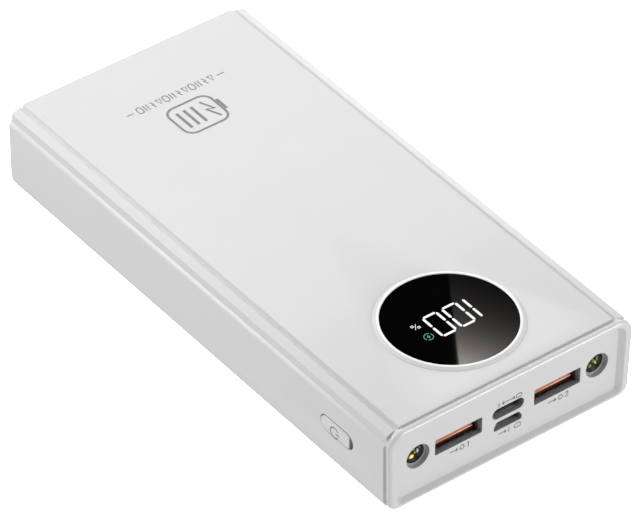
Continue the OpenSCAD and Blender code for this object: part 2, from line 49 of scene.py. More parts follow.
# ---------------------------------------------------------------- sizes, in mm
# Case: the port end faces -Y, the display +Z and the button -X
HALF_W = 35.0
HEIGHT = 22.5
FRONT = -73.0
FAR = 73.0
DRAFT = 0.4
CORNER_R = 4.4
BOTTOM_R = 3.0
END_R = 1.6
WALL = 2.0
INNER_R = 7.5
SPLIT = 1.8
SEAM = 0.06
CUT_X, CUT_Y = 40, 80  # tools that cut right through reach this far

# Port end: a round lip, a groove behind it, and a dish that leads down to the port panel
FRAME_D = 1.3
LIP_R = 1.1
GROOVE_W = 1.1
GROOVE_D = 0.55
SHELL_Y0 = FRONT + FRAME_D + GROOVE_W
RIM_W = 1.3
RIM_SIDE = 2.1
RECESS = 1.4
LEAN = 0.5
SIDE_LEAN = 1.1
PANEL_T = 1.9
PANEL_Y = FRONT + RECESS
PANEL_BACK = PANEL_Y + PANEL_T

# Sockets and lamps
MOUTH_T = 1.3
USB_X = 14.2
USB_Z = 11.5
USB_W = 13.4
USB_H = 4.5
TONGUE_TOP = 10.95
TONGUE_T = 1.4
TONGUE_HALF_W = 5.55
TYPE_C_Z = 12.25
MICRO_Z = 8.53
MICRO_HALF_W = 4.0
MICRO_HALF_H = 1.25
LAMP_X = 25.75
LAMP_Z = 11.75
LAMP_BORE_R = 3.25
LAMP_STEP = 1.15
LAMP_LENS_R = 2.55

# Display
DISPLAY = (0.65, FRONT + 23.8)
LENS_R = 15.9
RING_R = 17.45
RING_RISE = 0.65
LENS_TOP = HEIGHT + RING_RISE - 0.2

# Button
BUTTON_Y = FRONT + 19.1
BUTTON_Z = 11.2
BUTTON_FACE = -HALF_W + 0.02
SLOT_L = 11.9
SLOT_H = 4.7
SLOT_GAP = 0.3


# ---------------------------------------------------------------- mesh helpers
def new_object(name, bm):
    mesh = bpy.data.meshes.new(name)
    bmesh.ops.recalc_face_normals(bm, faces=bm.faces)
    bm.to_mesh(mesh)
    bm.free()
    obj = bpy.data.objects.new(name, mesh)
    bpy.context.scene.collection.objects.link(obj)
    return obj


def loft(name, rings):
    """Closed solid through rings of 3D points in mm, all with the same count."""
    bm = bmesh.new()
    loops = [[bm.verts.new(Vector(p) * MM) for p in ring] for ring in rings]
    count = len(loops[0])
    for a, b in zip(loops, loops[1:]):
        for i in range(count):
            j = (i + 1) % count
            bm.faces.new((a[i], a[j], b[j], b[i]))
    bm.faces.new(list(reversed(loops[0])))
    bm.faces.new(loops[-1])
    return new_object(name, bm)


def prism_y(name, outline, y0, y1):
    return loft(name, [[(x, y, z) for x, z in outline] for y in (y0, y1)])


def prism_x(name, outline, x0, x1):
    return loft(name, [[(x, y, z) for y, z in outline] for x in (x0, x1)])


def prism_z(name, outline, z0, z1):
    return loft(name, [[(x, y, z) for x, y in outline] for z in (z0, z1)])


def box(name, low, high):
    (x0, y0, z0), (x1, y1, z1) = low, high
    return prism_z(name, [(x0, y0), (x1, y0), (x1, y1), (x0, y1)], z0, z1)


def apply_modifiers(obj):
    graph = bpy.context.evaluated_depsgraph_get()
    mesh = bpy.data.meshes.new_from_object(obj.evaluated_get(graph))
    old = obj.data
    obj.modifiers.clear()
    obj.data = mesh
    bpy.data.meshes.remove(old)


def boolean(obj, tools, operation="DIFFERENCE"):
    """Cuts or joins the tools with obj, one by one, and removes them."""
    for tool in tools:
        mod = obj.modifiers.new("bool", "BOOLEAN")
        mod.operation = operation
        mod.solver = "EXACT"
        mod.object = tool
        apply_modifiers(obj)
        mesh = tool.data
        bpy.data.objects.remove(tool)
        bpy.data.meshes.remove(mesh)
    return obj


def clean(obj, dist=0.002):
    bm = bmesh.new()
    bm.from_mesh(obj.data)
    bmesh.ops.remove_doubles(bm, verts=bm.verts, dist=dist * MM)
    bmesh.ops.dissolve_degenerate(bm, edges=bm.edges, dist=dist * MM)
    bm.to_mesh(obj.data)
    bm.free()


def soften(obj, width, angle=35.0, segments=3):
    """Rounds the sharp edges and gives smooth shading with crisp planes."""
    clean(obj)
    mod = obj.modifiers.new("edge", "BEVEL")
    mod.width = width * MM
    mod.segments = segments
    mod.limit_method = "ANGLE"
    mod.angle_limit = math.radians(angle)
    mod.use_clamp_overlap = True
    mod.miter_outer = "MITER_ARC"
    apply_modifiers(obj)
    smooth(obj)
    return obj


def smooth(obj, angle=38.0):
    mesh = obj.data
    for poly in mesh.polygons:
        poly.use_smooth = True
    mesh.set_sharp_from_angle(angle=math.radians(angle))


def arc(cx, cy, r, a0, a1, n=10):
    return [(cx + r * math.cos(math.radians(a0 + (a1 - a0) * i / n)),
             cy + r * math.sin(math.radians(a0 + (a1 - a0) * i / n))) for i in range(n + 1)]


def fillet(points, radii, n=6):
    """Open line through 2D points with each inner corner rounded to its radius."""
    out = [points[0]]
    for before, corner, after, r in zip(points, points[1:], points[2:], radii):
        a = Vector(before) - Vector(corner)
        b = Vector(after) - Vector(corner)
        half = a.angle(b) / 2
        reach = min(r / math.tan(half), a.length * 0.48, b.length * 0.48)
        p0 = Vector(corner) + a.normalized() * reach
        p2 = Vector(corner) + b.normalized() * reach
        for i in range(n + 1):
            t = i / n
            q = p0 * (1 - t) ** 2 + Vector(corner) * 2 * t * (1 - t) + p2 * t * t
            out.append((q.x, q.y))
    out.append(points[-1])
    return out


def rounded_rect(cx, cy, w, h, r, n=5):
    x, y = w / 2 - r, h / 2 - r
    return (arc(cx + x, cy + y, r, 0, 90, n) + arc(cx - x, cy + y, r, 90, 180, n)
            + arc(cx - x, cy - y, r, 180, 270, n) + arc(cx + x, cy - y, r, 270, 360, n))


def stadium(cx, cy, w, h, n=14):
    r = h / 2
    return arc(cx + w / 2 - r, cy, r, -90, 90, n) + arc(cx - w / 2 + r, cy, r, 90, 270, n)


def revolve(name, profile, centre, segments=160):
    """Ring-shaped solid: the closed [radius, z] profile turned about Z."""
    bm = bmesh.new()
    loops = []
    for i in range(segments):
        a = 2 * math.pi * i / segments
        loops.append([bm.verts.new(Vector((centre[0] + r * math.cos(a),
                                           centre[1] + r * math.sin(a), z)) * MM)
                      for r, z in profile])
    count = len(profile)
    for a, b in zip(loops, loops[1:] + loops[:1]):
        for k in range(count):
            j = (k + 1) % count
            bm.faces.new((a[k], b[k], b[j], a[j]))
    return new_object(name, bm)


# ---------------------------------------------------------------- materials
NOISE_LOW, NOISE_HIGH = 0.3, 0.7  # most of a noise texture's values lie between these
SMEAR_SCALE = 140.0


def material(name, color, rough, **spec):
    """Principled material with mottled colour, varied roughness and a fine moulded grain."""
    mat = bpy.data.materials.new(name)
    mat.use_nodes = True
    tree = mat.node_tree
    shader = tree.nodes["Principled BSDF"]
    coords = tree.nodes.new("ShaderNodeTexCoord")

    def noise(scale, detail):
        n = tree.nodes.new("ShaderNodeTexNoise")
        n.inputs["Scale"].default_value = scale
        n.inputs["Detail"].default_value = detail
        tree.links.new(coords.outputs["Object"], n.inputs["Vector"])
        return n

    mottle = spec.get("mottle", 0.02)
    cloud = noise(spec.get("cloud_scale", 60.0), 3.0)
    ramp = tree.nodes.new("ShaderNodeValToRGB")
    ends = ramp.color_ramp.elements
    ends[0].position = NOISE_LOW
    ends[1].position = NOISE_HIGH
    ends[0].color = [c * (1 - mottle) for c in color] + [1]
    ends[1].color = [min(c * (1 + mottle), 1.0) for c in color] + [1]
    tree.links.new(cloud.outputs["Fac"], ramp.inputs["Fac"])
    tree.links.new(ramp.outputs["Color"], shader.inputs["Base Color"])

    vary = spec.get("rough_vary", 0.05)
    smear = noise(SMEAR_SCALE, 4.0)
    spread = tree.nodes.new("ShaderNodeMapRange")
    spread.inputs["From Min"].default_value = NOISE_LOW
    spread.inputs["From Max"].default_value = NOISE_HIGH
    spread.inputs["To Min"].default_value = max(rough - vary, 0.02)
    spread.inputs["To Max"].default_value = min(rough + vary, 1.0)
    tree.links.new(smear.outputs["Fac"], spread.inputs["Value"])
    tree.links.new(spread.outputs["Result"], shader.inputs["Roughness"])

    grain = noise(spec.get("grain_scale", 2600.0), 2.0)
    if "brush" in spec:
        stretch = tree.nodes.new("ShaderNodeMapping")
        stretch.inputs["Scale"].default_value = spec["brush"]
        tree.links.new(coords.outputs["Object"], stretch.inputs["Vector"])
        tree.links.new(stretch.outputs["Vector"], grain.inputs["Vector"])
    bump = tree.nodes.new("ShaderNodeBump")
    bump.inputs["Strength"].default_value = spec.get("grain", 0.06)
    bump.inputs["Distance"].default_value = spec.get("grain_depth", 0.00003)
    tree.links.new(grain.outputs["Fac"], bump.inputs["Height"])
    tree.links.new(bump.outputs["Normal"], shader.inputs["Normal"])

    shader.inputs["IOR"].default_value = 1.5
    shader.inputs["Metallic"].default_value = spec.get("metal", 0.0)
    shader.inputs["Specular IOR Level"].default_value = spec.get("specular", 0.5)
    shader.inputs["Coat Weight"].default_value = spec.get("coat", 0.0)
    shader.inputs["Coat Roughness"].default_value = spec.get("coat_rough", 0.1)
    if "glow" in spec:
        shader.inputs["Emission Color"].default_value = list(spec["glow"]) + [1]
        shader.inputs["Emission Strength"].default_value = spec["glow_strength"]
    return mat


def dress(obj, mat, parts=()):
    """Gives mat to the whole piece, then each (material, test) of parts to the faces that pass.

    A test takes a face's middle, in mm, and its normal.
    """
    obj.data.materials.clear()
    obj.data.materials.append(mat)
    for index, (look, test) in enumerate(parts, 1):
        obj.data.materials.append(look)
        for poly in obj.data.polygons:
            if test(poly.center / MM, poly.normal):
                poly.material_index = index


def dress_node(name, mat):
    obj = NODES[name]
    for slot in obj.material_slots:
        slot.material = mat
    if not obj.material_slots:
        obj.data.materials.append(mat)


WHITE = (0.60, 0.60, 0.603)
SATIN = dict(mottle=0.006, rough_vary=0.03, grain=0.02, grain_depth=0.00001,
             specular=0.5, coat=0.15, coat_rough=0.15)
GLOSSY = dict(SATIN, specular=0.6, coat=0.4, coat_rough=0.08)

# Case
mat_shell = material("shell_white", WHITE, 0.36, **SATIN)
mat_cover = material("cover_white", [c * 0.98 for c in WHITE], 0.4, **SATIN)
mat_frame = material("frame_white", WHITE, 0.32, **SATIN)
mat_button = material("button_white", [c * 1.02 for c in WHITE], 0.36, **SATIN)
# The ring's white comes as a shaded and a lit copy: the darker flank is painted shade, the lighter
# crest is a painted highlight.
mat_ring_flank_shade = material("ring_flank_painted_shade", (0.66, 0.66, 0.66), 0.2, **GLOSSY)
mat_ring_crest_highlight = material("ring_crest_painted_highlight", (0.82, 0.82, 0.82), 0.2, **GLOSSY)
# Painted shade: dark grey on the white walls inside the socket openings and on the button cap's
# sides in the slot's gap.
mat_painted_shade = material("painted_shade_grey", (0.26, 0.26, 0.265), 0.4,
                     mottle=0.08, cloud_scale=700.0, metal=0.1)
# Painted shade: mid grey on the lamp bores' walls and steps.
mat_lamp_step_shade = material("lamp_step_painted_shade", (0.33, 0.33, 0.335), 0.4,
                         mottle=0.05, cloud_scale=500.0)

# Print and display
mat_panel_ink = material("grey_ink", (0.16, 0.16, 0.17), 0.6, mottle=0.10, cloud_scale=900.0)
mat_top_ink = material("soft_grey_ink", (0.195, 0.20, 0.21), 0.55,
                       mottle=0.10, cloud_scale=700.0)
mat_row_ink = material("pale_grey_ink", (0.15, 0.155, 0.165), 0.55,
                       mottle=0.10, cloud_scale=700.0)
mat_window = material("window_black", (0.0012, 0.0012, 0.0013), 0.02,
                      mottle=0.2, rough_vary=0.004, grain=0.0)
mat_figures = material("figures_lit", (0.06, 0.06, 0.06), 0.5,
                       mottle=0.01, glow=(1.0, 1.0, 1.0), glow_strength=0.98)
mat_charge = material("charge_lit", (0.01, 0.04, 0.03), 0.5,
                      mottle=0.02, glow=(0.13, 0.42, 0.30), glow_strength=0.75)

# Sockets
mat_orange = material("orange_plastic", (0.70, 0.17, 0.03), 0.30,
                      mottle=0.08, cloud_scale=500.0, specular=0.6)
# Painted shade: near black on the tongue's front face and underside; painted highlight: lighter
# orange on the top of its front bevel.
mat_tongue_shade = material("orange_shade", (0.05, 0.010, 0.004), 0.35,
                           mottle=0.15, cloud_scale=500.0)
mat_tongue_highlight = material("orange_bevel_painted_highlight", (0.85, 0.34, 0.17), 0.25,
                          mottle=0.05, cloud_scale=500.0, specular=0.8, coat=0.4)
mat_steel = material("plated_steel", (0.55, 0.55, 0.56), 0.28, metal=1.0, mottle=0.05,
                     rough_vary=0.08, brush=(1.0, 30.0, 1.0), grain_scale=400.0, grain=0.1)
mat_gold = material("gold_contact", (0.78, 0.54, 0.20), 0.25, metal=1.0, mottle=0.06)

# Lamps
mat_cup = material("lamp_cup", (0.05, 0.05, 0.045), 0.18, metal=0.6, mottle=0.1)
mat_bowl = material("lamp_bowl", (0.016, 0.02, 0.010), 0.12, mottle=0.3, cloud_scale=1200.0,
                    specular=0.7, coat=0.6, coat_rough=0.05, grain=0.0)
mat_bezel = material("lamp_bezel", (0.006, 0.006, 0.004), 0.2, mottle=0.3)
# Painted highlights and reflections in the lamps: pale and dim glints and olive patches; the
# phosphor keeps the chip's own yellow with a painted glow.
mat_painted_glint = material("lamp_painted_glint", (0.62, 0.62, 0.55), 0.3, mottle=0.1, cloud_scale=2500.0)
mat_painted_glint_dim = material("lamp_painted_glint_dim", (0.20, 0.22, 0.14), 0.3,
                         mottle=0.1, cloud_scale=2500.0)
mat_olive_reflection = material("lamp_olive_painted_reflection", (0.26, 0.25, 0.07), 0.35, mottle=0.25, cloud_scale=2500.0)
mat_phosphor_glow = material("lamp_phosphor", (0.95, 0.80, 0.18), 0.6, mottle=0.15,
                        cloud_scale=2500.0, glow=(0.9, 0.75, 0.2), glow_strength=0.15)

# Inside
mat_dark = material("dark_plastic", (0.02, 0.02, 0.021), 0.5, mottle=0.15)
mat_natural = material("natural_plastic", (0.72, 0.69, 0.60), 0.5)
mat_board = material("board_green", (0.02, 0.13, 0.055), 0.38, mottle=0.20, cloud_scale=300.0)
mat_film = material("flex_film", (0.50, 0.30, 0.07), 0.35, mottle=0.12, cloud_scale=400.0)
mat_foil = material("pouch_foil", (0.66, 0.67, 0.69), 0.42, metal=0.9, mottle=0.06,
                    grain_scale=500.0, grain=0.35, grain_depth=0.0001)
mat_red = material("red_wire", (0.50, 0.02, 0.02), 0.45, mottle=0.08)
mat_black = material("black_wire", (0.012, 0.012, 0.012), 0.45, mottle=0.2)
mat_foam = material("foam_grey", (0.07, 0.07, 0.075), 0.95, mottle=0.3, cloud_scale=3000.0,
                    grain=0.8, grain_scale=3000.0, grain_depth=0.0002)
mat_ferrite = material("ferrite", (0.05, 0.052, 0.055), 0.7,
                       mottle=0.2, cloud_scale=900.0, grain=0.3)
mat_ceramic = material("capacitor_tan", (0.40, 0.27, 0.14), 0.35,
                       mottle=0.1, cloud_scale=900.0)

# CAD nodes that stay as they are, apart from their material
NODE_LOOKS = {
    mat_window: ["display_lens"],
    mat_figures: ["display_digits"],
    mat_charge: ["display_icon"],
    mat_dark: ["display_module", "switch_body", "type_c_tongue", "micro_usb_tongue",
               "power_chips"],
    mat_natural: ["switch_plunger"],
    mat_board: ["display_board", "main_board", "protection_board"],
    mat_steel: ["usb_a_shell_1", "usb_a_shell_2", "type_c_shell", "micro_usb_shell",
                "board_screws", "display_screws", "lamp_leads_1", "lamp_leads_2", "cell_tabs"],
    mat_gold: ["usb_a_contacts_1", "usb_a_contacts_2", "type_c_contacts",
               "micro_usb_contacts", "switch_dome"],
    mat_film: ["display_ribbon"],
    mat_cup: ["lamp_cup_1", "lamp_cup_2"],
    mat_foil: ["cell_lower", "cell_upper"],
    mat_red: ["battery_lead_red"],
    mat_black: ["battery_lead_black"],
    mat_foam: ["foam_pads"],
    mat_ferrite: ["inductors"],
    mat_ceramic: ["capacitors"],
}
for look, names in NODE_LOOKS.items():
    for node_name in names:
        dress_node(node_name, look)


# ---------------------------------------------------------------- casing sections
# Shoulder step, from the side wall to the top: distance in from the side and down from the
# top of each corner, and the corner's radius
SHOULDER = [((0.0, 4.15), 1.2), ((0.88, 3.3), 0.2), ((0.92, 1.25), 0.25), ((3.1, 0.6), 0.5),
            ((3.5, 0.92), 0.3), ((3.88, 0.97), 0.3), ((4.4, 0.03), 0.25), ((5.6, 0.0), 0.5)]


def body_half():
    """Right half of the body's outline, from the bottom middle to the top middle."""
    pts = [(0.0, 0.0), (HALF_W - DRAFT, 0.0)]
    pts += [(HALF_W - u, HEIGHT - v) for (u, v), _ in SHOULDER] + [(0.0, HEIGHT)]
    return fillet(pts, [BOTTOM_R] + [r for _, r in SHOULDER], 8)


HALF = body_half()


def body_ring(y, inset=0.0):
    """Outline at y, drawn in evenly towards the middle by inset."""
    mid = HEIGHT / 2
    sx = 1 - inset / HALF_W
    sz = 1 - inset / mid
    right = [(x * sx, y, mid + (z - mid) * sz) for x, z in HALF]
    return right + [(-x, yy, z) for x, yy, z in reversed(right[1:-1])]


def body_blank(name, steps=6):
    """Solid body behind the port end, with its far end rounded."""
    rings = [body_ring(y) for y in (SHELL_Y0, (SHELL_Y0 + FAR) / 2, FAR - END_R)]
    for i in range(1, steps + 1):
        a = math.pi / 2 * i / steps
        rings.append(body_ring(FAR - END_R + END_R * math.sin(a), END_R * (1 - math.cos(a))))
    return loft(name, rings)


def plain_section(inset, r_top, n=10):
    """Outline of the case without its shoulder step, drawn in by inset."""
    rt = max(r_top - inset, 0.5)
    rb = max(BOTTOM_R - inset, 0.5)
    xt, xb = HALF_W - inset - rt, HALF_W - DRAFT - inset - rb
    zt, zb = HEIGHT - inset - rt, inset + rb
    return (arc(xt, zt, rt, 0, 90, n) + arc(-xt, zt, rt, 90, 180, n)
            + arc(-xb, zb, rb, 180, 270, n) + arc(xb, zb, rb, 270, 360, n))


def section_ring(y, inset, r_top=CORNER_R):
    return [(x, y, z) for x, z in plain_section(inset, r_top)]


def recess_ring(y, inset, side):
    """Outline drawn in by inset above and below and by side at the sides."""
    return [(x - math.copysign(side - inset, x), y, z)
            for x, z in plain_section(inset, CORNER_R)]


# ---------------------------------------------------------------- casing pieces
def make_shell():
    shell = body_blank("shell_top")
    inner = loft("t_inner", [section_ring(y, WALL, INNER_R) for y in (SHELL_Y0 - 1, FAR - WALL)])
    below = box("t_below", (-CUT_X, -CUT_Y, -1), (CUT_X, CUT_Y, SPLIT + SEAM))
    seat_r = LENS_R + 0.95
    seat = prism_z("t_seat", arc(DISPLAY[0], DISPLAY[1], seat_r, 0, 358, 120), 18, 24)
    slot = prism_x("t_slot", stadium(BUTTON_Y, BUTTON_Z, SLOT_L, SLOT_H, 20), -CUT_X, -30)
    boolean(shell, [inner, below, seat, slot])
    soften(shell, 0.16, angle=40)
    return shell


def make_cover():
    """Shallow tray with a thin lip that stands up inside the shell."""
    cover = body_blank("bottom_tray")
    above = box("t_above", (-CUT_X, -CUT_Y, SPLIT - SEAM), (CUT_X, CUT_Y, 30))
    boolean(cover, [above])
    lip_x, lip_t = 32.3, 0.9
    lip_y0, lip_y1 = SHELL_Y0 + 4, FAR - WALL - 0.2
    lip = box("t_lip", (-lip_x, lip_y0, SPLIT - 0.3), (lip_x, lip_y1, SPLIT + 2.0))
    core = box("t_core", (-lip_x + lip_t, lip_y0 + lip_t, SPLIT - 1),
               (lip_x - lip_t, lip_y1 - lip_t, SPLIT + 4))
    boolean(lip, [core])
    boolean(cover, [lip], "UNION")
    soften(cover, 0.14, angle=40)
    return cover


def micro_outline():
    """Micro-USB mouth: flat below, with its upper corners cut, started at the bottom middle."""
    base, belt, top = MICRO_Z - MICRO_HALF_H, MICRO_Z - 0.1, MICRO_Z + MICRO_HALF_H
    w, top_w = MICRO_HALF_W, 3.2
    line = [(0, base), (w, base), (w, belt), (top_w, top), (-top_w, top), (-w, belt),
            (-w, base), (0, base)]
    return fillet(line, [0.6] * 6, 5)[:-1]


def make_port_frame():
    rings = []
    for i in range(9):
        a = math.pi / 2 * i / 8
        rings.append(section_ring(FRONT + LIP_R * (1 - math.cos(a)), LIP_R * (1 - math.sin(a))))
    lip_end = FRONT + FRAME_D
    rings += [section_ring(lip_end - 0.1, 0.05), section_ring(lip_end - 0.03, 0.12),
              section_ring(lip_end, 0.25), section_ring(lip_end + 0.05, GROOVE_D),
              section_ring(SHELL_Y0, GROOVE_D)]
    rings += [section_ring(y, WALL + 0.15, INNER_R) for y in (SHELL_Y0 + 0.01, SHELL_Y0 + 3.2)]
    port = loft("port_end", rings)
    hollow = loft("t_hollow", [section_ring(y, WALL + 1.45, INNER_R)
                               for y in (PANEL_BACK, SHELL_Y0 + 6)])
    dish = loft("t_dish", [recess_ring(FRONT - 0.5, RIM_W - 0.3, RIM_SIDE - 0.5),
                           recess_ring(FRONT, RIM_W, RIM_SIDE),
                           recess_ring(PANEL_Y, RIM_W + LEAN, RIM_SIDE + SIDE_LEAN)])
    tools = [hollow, dish]
    y0, y1 = PANEL_Y - 0.6, PANEL_BACK + 0.6
    lip_y = PANEL_Y + MOUTH_T
    for s in (-1, 1):
        usb, lamp = s * USB_X, s * LAMP_X
        bore = arc(lamp, LAMP_Z, LAMP_BORE_R, 0, 354, 59)
        lens_bore = arc(lamp, LAMP_Z, LAMP_LENS_R + 0.06, 0, 354, 59)
        tools += [prism_y("t_usb", rounded_rect(usb, USB_Z, USB_W, USB_H, 0.4), y0, y1),
                  box("t_usb_back", (usb - USB_W / 2, lip_y, USB_Z - 2.6),
                      (usb + USB_W / 2, y1, USB_Z + 3.0)),
                  prism_y("t_lamp", bore, y0, PANEL_Y + LAMP_STEP),
                  prism_y("t_lamp_back", lens_bore, y0, y1)]
    tools += [prism_y("t_c", stadium(0, TYPE_C_Z, 9.1, 3.0), y0, y1),
              prism_y("t_micro", micro_outline(), y0, y1),
              prism_y("t_c_back", stadium(0, TYPE_C_Z, 9.3, 3.4), lip_y, y1),
              box("t_micro_back", (-4.05, lip_y, MICRO_Z - 1.4), (4.05, y1, MICRO_Z + 1.35))]
    boolean(port, tools)
    soften(port, 0.1, angle=42)
    return port


def make_ring():
    """Raised ring round the display, with a ledge that carries the window."""
    top = HEIGHT + RING_RISE
    seat = LENS_R + 0.85
    ledge, ledge_z = LENS_R - 0.9, LENS_TOP - 1.25
    inner = LENS_R + 0.03
    bead = fillet([(RING_R, HEIGHT + 0.02), (RING_R - 0.05, HEIGHT + 0.12),
                   (LENS_R + 0.62, top), (inner, top), (inner, top - 0.4)],
                  [0.15, 0.35, 0.2], 8)
    profile = [(ledge, HEIGHT - 2), (seat, HEIGHT - 2), (seat, HEIGHT + 0.02)] + bead[:-1]
    profile += [(inner, ledge_z), (ledge, ledge_z)]
    ring = revolve("display_bezel", profile, DISPLAY)
    smooth(ring, 45)
    return ring


def make_button():
    """Cap with a flange behind the wall, a little behind and below the slot's middle."""
    mid_y, mid_z = BUTTON_Y + 0.16, BUTTON_Z - 0.08
    length, height = SLOT_L - 2 * SLOT_GAP, SLOT_H - 2 * SLOT_GAP
    # Depth behind the face, and how much smaller the outline is there
    steps = [(0, 0.7), (0.06, 0.3), (0.2, 0.08), (0.4, 0.0), (2.43, 0.0)]
    body = loft("button_cap", [[(BUTTON_FACE + depth, y, z)
                                for y, z in stadium(mid_y, mid_z, length - d, height - d, 20)]
                               for depth, d in steps])
    # Flat front end, 1.25 mm from the end of the slot
    cut_y = BUTTON_Y - SLOT_L / 2 + 1.25
    front = box("t_front", (-CUT_X, BUTTON_Y - 10, 0), (-30, cut_y, 22))
    boolean(body, [front])
    half_l, half_h = (SLOT_L - 0.5) / 2 + 0.9, (SLOT_H - 0.5) / 2 + 0.9
    outline = rounded_rect(BUTTON_Y, BUTTON_Z, 2 * half_l, 2 * half_h, 0.6)
    flange = prism_x("t_flange", outline, -HALF_W + 2.45, -HALF_W + 3.15)
    boolean(body, [flange], "UNION")
    soften(body, 0.1, angle=40, segments=2)
    return body


# These faces get painted shade.
def in_mouth(c, n):
    """Inner faces of the socket openings, behind the panel's face."""
    if c.y < PANEL_Y + 0.08 or c.y > PANEL_BACK + 0.05:
        return False
    usb = abs(abs(c.x) - USB_X) < 7.3 and abs(c.z - USB_Z) < 3.0
    small = abs(c.x) < 5.4 and MICRO_Z - 2.4 < c.z < TYPE_C_Z + 2.6
    return usb or small


# These faces get painted shade.
def in_lamp(c, n):
    """Inner faces of the lamp bores."""
    return c.y > PANEL_Y + 0.1 and math.hypot(abs(c.x) - LAMP_X, c.z - LAMP_Z) < 3.35


# These faces get the lighter painted highlight; the rest of the ring keeps the darker painted
# shade.
def on_crest(c, n):
    """The ring's flat crest and its inner wall, inside of the sloping flank."""
    return math.hypot(c.x - DISPLAY[0], c.y - DISPLAY[1]) < LENS_R + 0.72


# These faces get painted shade.
def on_cap_flank(c, n):
    """The cap's sides, in the gap of the slot."""
    return c.x > -HALF_W + 0.2 and abs(n.x) < 0.5


PIECES = [
    (make_shell(), "main_shell", "root", mat_shell, []),
    (make_cover(), "bottom_cover", "root", mat_cover, []),
    (make_port_frame(), "port_frame", "root", mat_frame,
     [(mat_painted_shade, in_mouth), (mat_lamp_step_shade, in_lamp)]),
    (make_ring(), "display_ring", "root", mat_ring_flank_shade, [(mat_ring_crest_highlight, on_crest)]),
    (make_button(), "power_button", "button", mat_button, [(mat_painted_shade, on_cap_flank)]),
]
for piece, node_name, body_name, look, parts in PIECES:
    dress(piece, look, parts)
    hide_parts(node_name)
    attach(piece, body_name)


# ---------------------------------------------------------------- printed marks
# Thickness of the print, and the widths of its lines
INK = 0.02
LINE = 0.6
FINE = 0.29
THIN = 0.27
PLUG_LINE = THIN * 0.9


def stroke(points, width):
    """Band of the given width along an open 2D line, as a closed outline."""
    left, right = [], []
    n = len(points)
    for i, p in enumerate(points):
        a = Vector(points[max(i - 1, 0)])
        b = Vector(points[min(i + 1, n - 1)])
        d = (b - a).normalized()
        side = Vector((-d.y, d.x)) * width / 2
        left.append(Vector(p) + side)
        right.append(Vector(p) - side)
    return left + list(reversed(right))


def print_mark(name, strokes, place, mat, body="root"):
    """Thin raised print: strokes of (points, width) in a plane, set in space by place."""
    bm = bmesh.new()
    for points, width in strokes:
        outline = stroke(points, width)
        count = len(outline)
        low = [bm.verts.new(place(p.x, p.y, 0.0)) for p in outline]
        high = [bm.verts.new(place(p.x, p.y, INK)) for p in outline]
        for i in range(count // 2 - 1):
            bm.faces.new((high[i], high[i + 1], high[count - 2 - i], high[count - 1 - i]))
            bm.faces.new((low[count - 1 - i], low[count - 2 - i], low[i + 1], low[i]))
        for i in range(count):
            j = (i + 1) % count
            bm.faces.new((low[i], low[j], high[j], high[i]))
    obj = new_object(name, bm)
    dress(obj, mat)
    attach(obj, body)


# Each place maps a mark's x, y and height above the surface to a point; the ink sinks in a little
SINK = 0.005


def on_top(cx, cy):
    return lambda x, y, h: Vector((cx + x, cy + y, HEIGHT - SINK + h)) * MM


def on_panel(cx, cz):
    return lambda x, y, h: Vector((cx + x, PANEL_Y + SINK - h, cz + y)) * MM


def on_button(cy, cz):
    return lambda x, y, h: Vector((BUTTON_FACE + SINK - h, cy - y, cz + x)) * MM


def closed(points):
    return points + [points[0]]


def upright(x, half, width):
    """Straight line along y, from -half to half."""
    return ([(x, -half), (x, half)], width)


# Battery outline with a nub, a bolt and three level bars
gauge = [(closed(rounded_rect(-0.5, 0, 12.4, 10.6, 2.6, 8)), LINE),
         upright(6.45, 2.1, LINE * 1.3),
         ([(3.9, -3.5), (2.2, 0.5), (4.2, -0.5), (2.5, 3.5)], LINE)]
gauge += [upright(x, 3.2, LINE * 1.3) for x in (-0.2, -2.3, -4.4)]
print_mark("gauge_print", gauge, on_top(0.3, 44.4), mat_top_ink)

# Row of small signs between two dashes: pill, two bars, bolt and triangle by turns
signs = []
for i in range(12):
    x = -10.4 + i * 1.89
    kind = i % 4
    if kind == 0:
        signs.append((closed(rounded_rect(x, 0, 1.35, 2.3, 0.6, 5)), FINE))
    elif kind == 1:
        signs += [upright(x - 0.45, 1.1, FINE), upright(x + 0.4, 1.1, FINE)]
    elif kind == 2:
        bolt = [(x + 0.25, -1.15), (x - 0.35, 0.15), (x + 0.35, -0.15), (x - 0.25, 1.15)]
        signs.append((bolt, FINE))
    else:
        signs.append((closed([(x - 0.65, 0.95), (x, -1.05), (x + 0.65, 0.95)]), FINE))
signs += [([(-14.2, 0), (-12.2, 0)], FINE), ([(12.1, 0), (14.2, 0)], FINE)]
print_mark("sign_row_print", signs, on_top(0.2, 53.6), mat_row_ink)


def arrow(x0, x1, head=0.45):
    d = math.copysign(head, x1 - x0)
    return [([(x0, 0), (x1, 0)], THIN), ([(x1 - d, head), (x1, 0), (x1 - d, -head)], THIN)]


